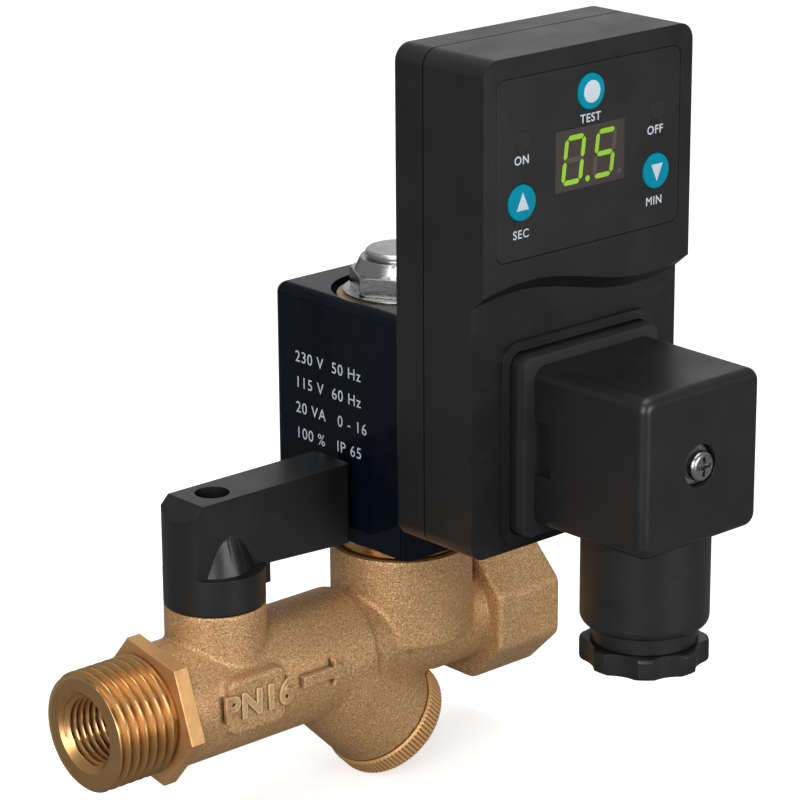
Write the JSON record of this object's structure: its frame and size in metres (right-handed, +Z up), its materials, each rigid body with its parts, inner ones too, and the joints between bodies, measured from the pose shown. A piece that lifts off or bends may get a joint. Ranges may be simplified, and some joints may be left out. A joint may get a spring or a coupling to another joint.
{
  "type": "automatic drain valve",
  "caption": "Timed electronic drain valve: brass body with ball valve, strainer and solenoid valve, plug-on digital timer and angled cable plug.",
  "frame": {"origin": "centre of the inlet port face on the flow axis", "axes": "+X along the flow to the outlet, +Z up through the solenoid, the timer faces -Y"},
  "size_m": [0.0992, 0.0914, 0.1393],
  "materials": {
    "cast_brass": "sand cast, fine grain",
    "machined_brass": "turned",
    "ball_chrome": "polished",
    "ptfe": "smooth",
    "rubber": "matt",
    "lever_nylon": "fine moulded texture",
    "case_abs": "satin moulded",
    "plug_nylon": "fine moulded texture",
    "coil_epoxy": "glossy moulded",
    "steel": "zinc plated",
    "stainless": "turned",
    "copper": "enamelled wire",
    "overlay": "printed film",
    "window": "tinted",
    "board": "laminate",
    "component": "moulded",
    "button_teal": "printed",
    "seal_buff": "smooth"
  },
  "bodies": {
    "valve": {"valve_body": "cast_brass", "inlet_fitting": "machined_brass", "seat_inlet": "ptfe", "seat_outlet": "ptfe", "stem_thrust_washer": "ptfe", "bonnet": "machined_brass", "core_tube": "stainless", "fixed_core": "stainless", "shading_ring": "copper", "coil_body": "coil_epoxy", "flux_frame": "steel", "coil_bobbin": "ptfe", "coil_winding": "copper", "coil_terminals": "steel", "coil_gasket": "rubber", "coil_top_seal": "seal_buff", "coil_washer": "steel", "coil_nut": "steel", "connector_gasket": "rubber", "timer_rear_shell": "case_abs", "timer_front_shell": "case_abs", "timer_case_screws": "steel", "timer_overlay": "overlay", "display_window": "window", "display_module": "component", "indicator_lenses": "window", "tact_switches": "component", "timer_board": "board", "timer_relay": "component", "timer_capacitor": "component", "timer_socket": "component", "timer_pins": "steel", "plug_gasket": "rubber", "plug_housing": "plug_nylon", "plug_terminal_block": "component", "plug_contacts": "machined_brass", "plug_screw": "steel", "plug_screw_washer": "steel", "gland_grommet": "rubber"},
    "lever": {"handle": "lever_nylon", "handle_screw": "steel", "stem": "machined_brass", "stem_o_rings": "rubber", "ball": "ball_chrome"},
    "plunger_assembly": {"plunger": "stainless", "plunger_seal": "rubber", "plunger_spring": "stainless"},
    "test_key": {"button_test": "button_teal"},
    "up_key": {"button_up": "button_teal"},
    "down_key": {"button_down": "button_teal"},
    "screen_carrier": {"strainer_screen": "stainless", "strainer_o_ring": "rubber"},
    "cap_body": {"strainer_cap": "machined_brass"},
    "gland_carrier": {"gland_washer": "ptfe"},
    "nut_body": {"gland_nut": "plug_nylon"}
  },
  "joints": [
    {"name": "handle_turn", "type": "hinge", "parent": "valve", "child": "lever", "pos_m": [0.0286, 0, 0.02], "axis": [0, 0, -1], "range_deg": [0, 90]},
    {"name": "plunger_lift", "type": "slide", "parent": "valve", "child": "plunger_assembly", "axis": [0, 0, 1], "range_m": [0, 0.002], "stiffness_N_per_m": 300, "springref_m": -0.004, "deforming": ["plunger_spring"]},
    {"name": "press_test", "type": "slide", "parent": "valve", "child": "test_key", "axis": [0, 1, 0], "range_m": [0, 0.0004], "stiffness_N_per_m": 1000, "springref_m": -0.0002},
    {"name": "press_up", "type": "slide", "parent": "valve", "child": "up_key", "axis": [0, 1, 0], "range_m": [0, 0.0004], "stiffness_N_per_m": 1000, "springref_m": -0.0002},
    {"name": "press_down", "type": "slide", "parent": "valve", "child": "down_key", "axis": [0, 1, 0], "range_m": [0, 0.0004], "stiffness_N_per_m": 1000, "springref_m": -0.0002},
    {"name": "cap_travel", "type": "slide", "parent": "valve", "child": "screen_carrier", "axis": [0.7071, 0, -0.7071], "range_m": [0, 0.00448]},
    {"name": "cap_turn", "type": "hinge", "parent": "screen_carrier", "child": "cap_body", "pos_m": [0.0509, 0, 0], "axis": [-0.7071, 0, 0.7071], "range_deg": [0, 1080]},
    {"name": "gland_travel", "type": "slide", "parent": "valve", "child": "gland_carrier", "axis": [0, 0, -1], "range_m": [0, 0.0028]},
    {"name": "gland_turn", "type": "hinge", "parent": "gland_carrier", "child": "nut_body", "pos_m": [0.0715, -0.0603, 0.013], "axis": [0, 0, 1], "range_deg": [0, 720]}
  ],
  "couplings": [
    {"joint": "cap_turn", "follows": "cap_travel", "rad_per_m": 4188.8},
    {"joint": "gland_turn", "follows": "gland_travel", "rad_per_m": 4456.2}
  ]
}
